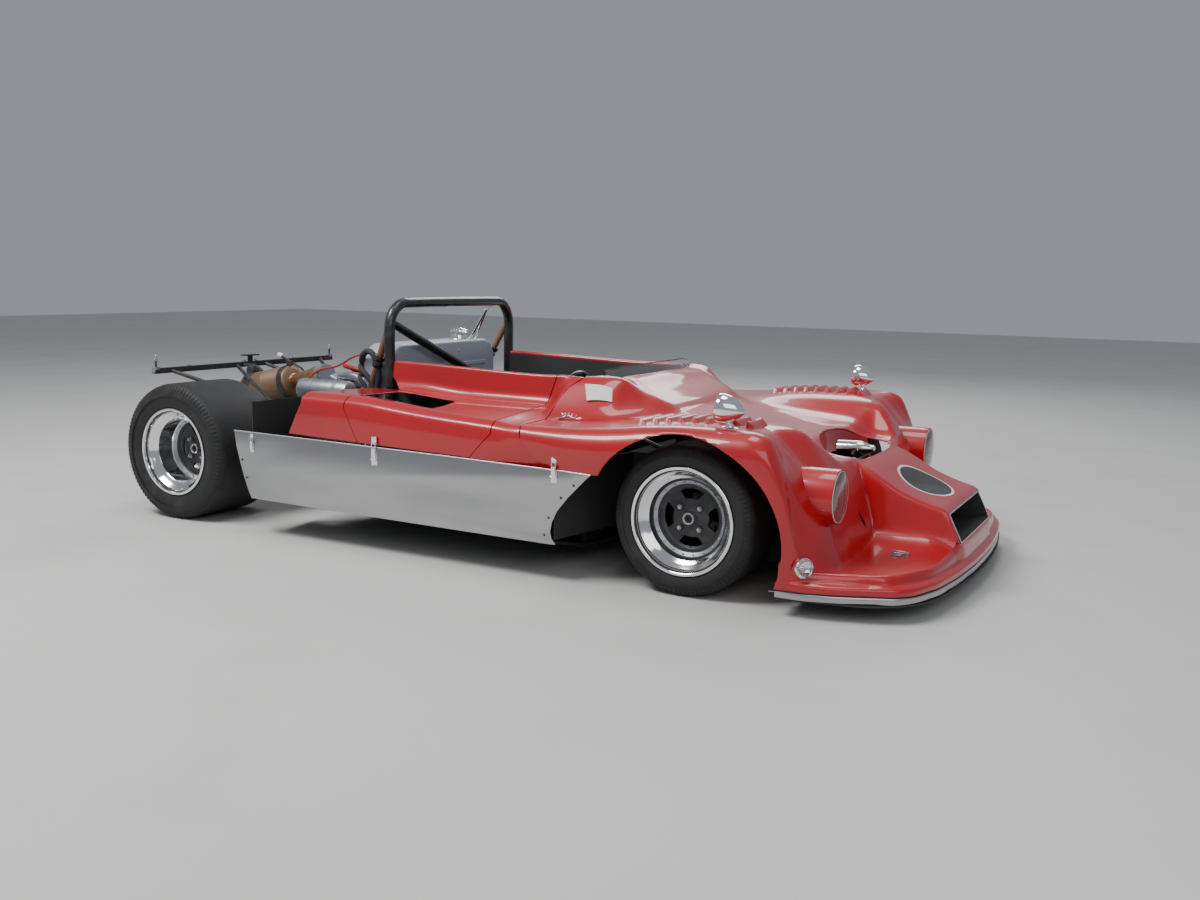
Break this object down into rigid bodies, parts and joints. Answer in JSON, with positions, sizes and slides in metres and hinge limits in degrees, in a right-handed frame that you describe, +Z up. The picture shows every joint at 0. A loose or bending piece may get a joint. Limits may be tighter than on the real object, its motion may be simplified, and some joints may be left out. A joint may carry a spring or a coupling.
{
  "type": "sports racing car",
  "caption": "Open two-seat sports racing car with a glossy wedge-nosed body, bare metal side skirts, a roll hoop and its rear body section removed to show the engine.",
  "frame": {"origin": "on the ground, at the middle of the overall length and width", "axes": "+X towards the nose, +Y to the left, +Z up"},
  "size_m": [3.585, 1.752, 0.9399],
  "materials": {
    "red_body": "glossy red gel coat",
    "bare_aluminium": "bare sheet, lightly scuffed",
    "black_panel": "satin black",
    "grey_paint": "silver-grey paint on sheet",
    "polished": "polished lips with dark centres",
    "chrome": "polished",
    "tyre": "slick rubber",
    "black_tube": "gloss black",
    "clear": "clear",
    "castings": "grey cast surfaces",
    "cam_covers": "bare and painted metal",
    "exhaust_steel": "heat-tinted plated pipe",
    "rusty_steel": "brown heat-rusted steel",
    "plain_steel": "plain steel",
    "seat_cover": "black cloth"
  },
  "bodies": {
    "chassis": {"front_body": "red_body", "joint_strips": "red_body", "side_pods": "red_body", "rear_quarters": "red_body", "undertray": "bare_aluminium", "tub_floor": "bare_aluminium", "tub_sides": "bare_aluminium", "side_skirts": "bare_aluminium", "canister": "bare_aluminium", "nose_bottle": "bare_aluminium", "radiator": "bare_aluminium", "footwell": "black_panel", "front_wheelhouses": "black_panel", "inner_panels": "black_panel", "dashboard": "black_panel", "fuel_tank": "grey_paint", "mirrors": "chrome", "filler_cap": "chrome", "roll_hoop": "black_tube", "front_wishbones": "black_tube", "rear_links": "black_tube", "windscreen": "clear", "lamps": "clear", "engine_block": "castings", "gearbox": "castings", "rear_uprights": "castings", "intake_trumpets": "castings", "cylinder_head": "cam_covers", "exhaust_headers": "exhaust_steel", "silencer": "rusty_steel", "rear_bearer": "plain_steel", "rack_housing": "plain_steel", "front_dampers": "plain_steel", "rear_dampers": "plain_steel", "seat": "seat_cover"},
    "knuckle_front_left": {"knuckle_front_left": "castings"},
    "knuckle_front_right": {"knuckle_front_right": "castings"},
    "wheel_front_left": {"rim_front_left": "polished", "tyre_front_left": "tyre"},
    "wheel_front_right": {"rim_front_right": "polished", "tyre_front_right": "tyre"},
    "wheel_rear_left": {"rim_rear_left": "polished", "tyre_rear_left": "tyre", "drive_shaft_left": "plain_steel"},
    "wheel_rear_right": {"rim_rear_right": "polished", "tyre_rear_right": "tyre", "drive_shaft_right": "plain_steel"},
    "rack": {"steering_rack": "plain_steel"},
    "steering": {"steering_wheel": "black_tube"}
  },
  "joints": [
    {"name": "steer_right", "type": "hinge", "parent": "chassis", "child": "knuckle_front_right", "pos_m": [0.9625, -0.59, 0.254], "axis": [0, 0, 1], "range_deg": [-20, 20]},
    {"name": "steer_left", "type": "hinge", "parent": "chassis", "child": "knuckle_front_left", "pos_m": [0.9625, 0.59, 0.254], "axis": [0, 0, 1], "range_deg": [-20, 20]},
    {"name": "rack_slide", "type": "slide", "parent": "chassis", "child": "rack", "axis": [0, 1, 0], "range_m": [-0.0326, 0.0326]},
    {"name": "steering_wheel_turn", "type": "hinge", "parent": "chassis", "child": "steering", "pos_m": [0.1925, -0.19, 0.525], "axis": [-0.9512, 0, 0.3087], "range_deg": [-180.5, 180.5]},
    {"name": "spin_front_left", "type": "hinge", "parent": "knuckle_front_left", "child": "wheel_front_left", "pos_m": [0.9625, 0.656, 0.254], "axis": [0, 1, 0], "continuous": true},
    {"name": "spin_front_right", "type": "hinge", "parent": "knuckle_front_right", "child": "wheel_front_right", "pos_m": [0.9625, -0.656, 0.254], "axis": [0, 1, 0], "continuous": true},
    {"name": "spin_rear_left", "type": "hinge", "parent": "chassis", "child": "wheel_rear_left", "pos_m": [-1.3485, 0.656, 0.285], "axis": [0, 1, 0], "continuous": true},
    {"name": "spin_rear_right", "type": "hinge", "parent": "chassis", "child": "wheel_rear_right", "pos_m": [-1.3485, -0.656, 0.285], "axis": [0, 1, 0], "continuous": true}
  ],
  "couplings": [
    {"joint": "steer_left", "follows": "steer_right", "ratio": 1},
    {"joint": "rack_slide", "follows": "steer_right", "m_per_rad": 0.09308},
    {"joint": "steering_wheel_turn", "follows": "steer_right", "ratio": 9}
  ]
}
